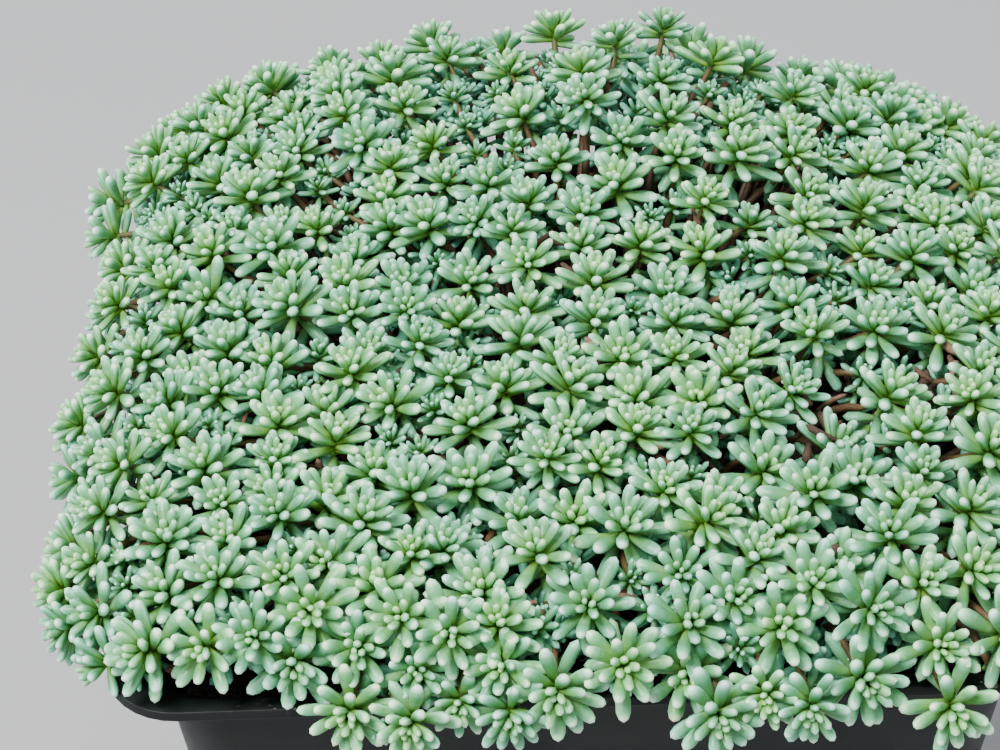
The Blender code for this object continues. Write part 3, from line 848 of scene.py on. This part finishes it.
for clump in clumps:
    name = clump.replace("clump", "rosettes")
    broad, slim = grown[clump]
    leaves = place_piece(name, leaf_mesh(name, (broad, broad_leaf), (slim, slim_leaf)), green)
    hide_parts(clump)


# Stems
# Thin brown stems, green where they are young. They creep in over the lip under the rosettes and
# go down into the mix, where the plant is rooted.
CROWN_SHARE = 0.62
STEM_SIDES = 5
STEM_STEPS = 8
STEM_TOP_RADIUS = 0.0004
STEM_FOOT_RADIUS = 0.0007
STEM_KNEES = ((0.93, 0.0036), (0.84, 0.0068))
STEM_ROOT_DEPTH = 0.001
STEM_LOOK_AHEAD = 0.02
STEM_SIDEWAYS = (0.3, 1, 0.2)


def stem_brown():
    """Brown bark with a green end under the rosette."""
    made, shader = flat_material("sedum_stem", (0.30, 0.15, 0.07), 0.6)
    tree = made.node_tree
    texture = use_grain(tree, 500, 3800)
    facts = facts_node(tree)
    colour = ramp(tree, facts.outputs["Alpha"], ((0.0, (0.07, 0.15, 0.03)),
                                                 (0.25, (0.13, 0.075, 0.025)),
                                                 (0.7, (0.09, 0.042, 0.020)),
                                                 (1.0, (0.06, 0.033, 0.020))))
    darker = ramp(tree, texture.outputs["Fine"], ((0.3, 0.55), (0.7, 1.15)))
    colour = mix_colours(tree, 1.0, colour, darker, "MULTIPLY")
    join_nodes(tree, colour, shader.inputs["Base Color"])
    add_bump(tree, shader, texture.outputs["Height"], 0.4, 0.0002)
    return made


def smooth_path(points, share):
    """A place on the smooth curve through a few points."""
    span = share * (len(points) - 1)
    index = min(int(span), len(points) - 2)
    part = span - index
    before = points[max(index - 1, 0)]
    start, end = points[index], points[index + 1]
    after = points[min(index + 2, len(points) - 1)]
    return 0.5 * (2 * start + (end - before) * part
                  + (2 * before - 5 * start + 4 * end - after) * part ** 2
                  + (3 * start - before - 3 * end + after) * part ** 3)


stem_rings = []
for u, v, place, axis, radius in shoots:
    knees = [place - axis * radius * ROSETTE_SINK]
    for share, depth in STEM_KNEES:
        knees.append(mat_point(u * share, v * share) - mat_normal(u * share, v * share) * depth)
    x, y = u * CROWN_SHARE, v * CROWN_SHARE
    knees.append(Vector((x, y, mix_height(x, y) - STEM_ROOT_DEPTH)))
    rings = np.zeros((STEM_STEPS + 1, STEM_SIDES, 3))
    for step in range(STEM_STEPS + 1):
        share = step / STEM_STEPS
        middle = smooth_path(knees, share)
        ahead = (smooth_path(knees, min(share + STEM_LOOK_AHEAD, 1))
                 - smooth_path(knees, max(share - STEM_LOOK_AHEAD, 0)))
        side = ahead.cross(Vector(STEM_SIDEWAYS)).normalized()
        other = ahead.cross(side).normalized()
        wide = STEM_TOP_RADIUS + (STEM_FOOT_RADIUS - STEM_TOP_RADIUS) * share
        for corner in range(STEM_SIDES):
            angle = 2 * math.pi * corner / STEM_SIDES
            rings[step, corner] = middle + (side * math.cos(angle) + other * math.sin(angle)) * wide
    stem_rings.append(rings.reshape(-1, 3))
stem_faces = [tuple(reversed(range(STEM_SIDES)))]
for step in range(STEM_STEPS):
    for corner in range(STEM_SIDES):
        low, high = step * STEM_SIDES, (step + 1) * STEM_SIDES
        after = (corner + 1) % STEM_SIDES
        stem_faces.append((low + corner, low + after, high + after, high + corner))
stem_faces.append(tuple(STEM_STEPS * STEM_SIDES + corner for corner in range(STEM_SIDES)))
down = np.repeat(np.arange(STEM_STEPS + 1) / STEM_STEPS, FACT_COUNT * STEM_SIDES)
stem_mesh = mesh_of_copies("stems", [(np.array(stem_rings), stem_faces,
                                      np.tile(down, len(stem_rings)))])
stems = place_piece("stems", stem_mesh, stem_brown())


# Withered leaves
# Dead leaves, shrunken and tan to brown, that have dropped among the stems and onto the mix. Some
# lie near the top in the bare places between the rosettes, the others further down.
WITHERED_COUNT = 240
BARE_WITHERED_COUNT = 60
BARE_SPREAD = 0.0024
BARE_DEPTHS = (0.0004, 0.0040)
WITHERED_DEPTHS = (0.0015, 0.011)
WITHERED_REACH = 0.86
WITHERED_EDGE = 0.9
WITHERED_LEVELLING = 0.6
WITHERED_LENGTHS = (0.0026, 0.0048)
WITHERED_WIDTHS = (0.0008, 0.0014)
WITHERED_ARCH = 0.25


def withered_brown():
    """Dry leaf skin, tan to dark brown, each leaf its own shade."""
    made, shader = flat_material("withered_leaf", (0.25, 0.13, 0.08), 0.8)
    tree = made.node_tree
    texture = use_grain(tree, 600, 3000)
    facts = facts_node(tree)
    colour = ramp(tree, facts.outputs["Alpha"], ((0.0, (0.050, 0.026, 0.016)),
                                                 (0.6, (0.130, 0.062, 0.036)),
                                                 (1.0, (0.290, 0.170, 0.120))))
    darker = ramp(tree, texture.outputs["Fine"], ((0.3, 0.5), (0.7, 1.1)))
    colour = mix_colours(tree, 1.0, colour, darker, "MULTIPLY")
    join_nodes(tree, colour, shader.inputs["Base Color"])
    add_bump(tree, shader, texture.outputs["Height"], 0.5, 0.0003)
    return made


dropped = []
while len(dropped) < WITHERED_COUNT:
    u, v = draw.uniform(-MAT_REACH, MAT_REACH, 2) * WITHERED_REACH
    depth = draw.uniform(*WITHERED_DEPTHS)
    if len(dropped) < BARE_WITHERED_COUNT:
        bare_u, bare_v = BARE_PLACES[len(dropped) % len(BARE_PLACES)]
        u = bare_u + draw.normal() * BARE_SPREAD
        v = bare_v + draw.normal() * BARE_SPREAD
        depth = draw.uniform(*BARE_DEPTHS)
    axis = mat_normal(u, v)
    deep = mat_point(u, v) - axis * depth
    along = Vector(draw.normal(size=3))
    along = (along - axis * along.dot(axis) * WITHERED_LEVELLING).normalized()
    up = along.cross(axis.orthogonal()).normalized()
    if not in_lip(deep) and deep.z > mix_height(deep.x, deep.y) and mat_share(u, v) < WITHERED_EDGE:
        add_leaf(dropped, deep, along, up, draw.uniform(*WITHERED_LENGTHS),
                 draw.uniform(*WITHERED_WIDTHS), WITHERED_ARCH, 1.0, draw.uniform(0, 1))
withered = place_piece("withered_leaves", leaf_mesh("withered_leaves", (dropped, slim_leaf)),
                       withered_brown())
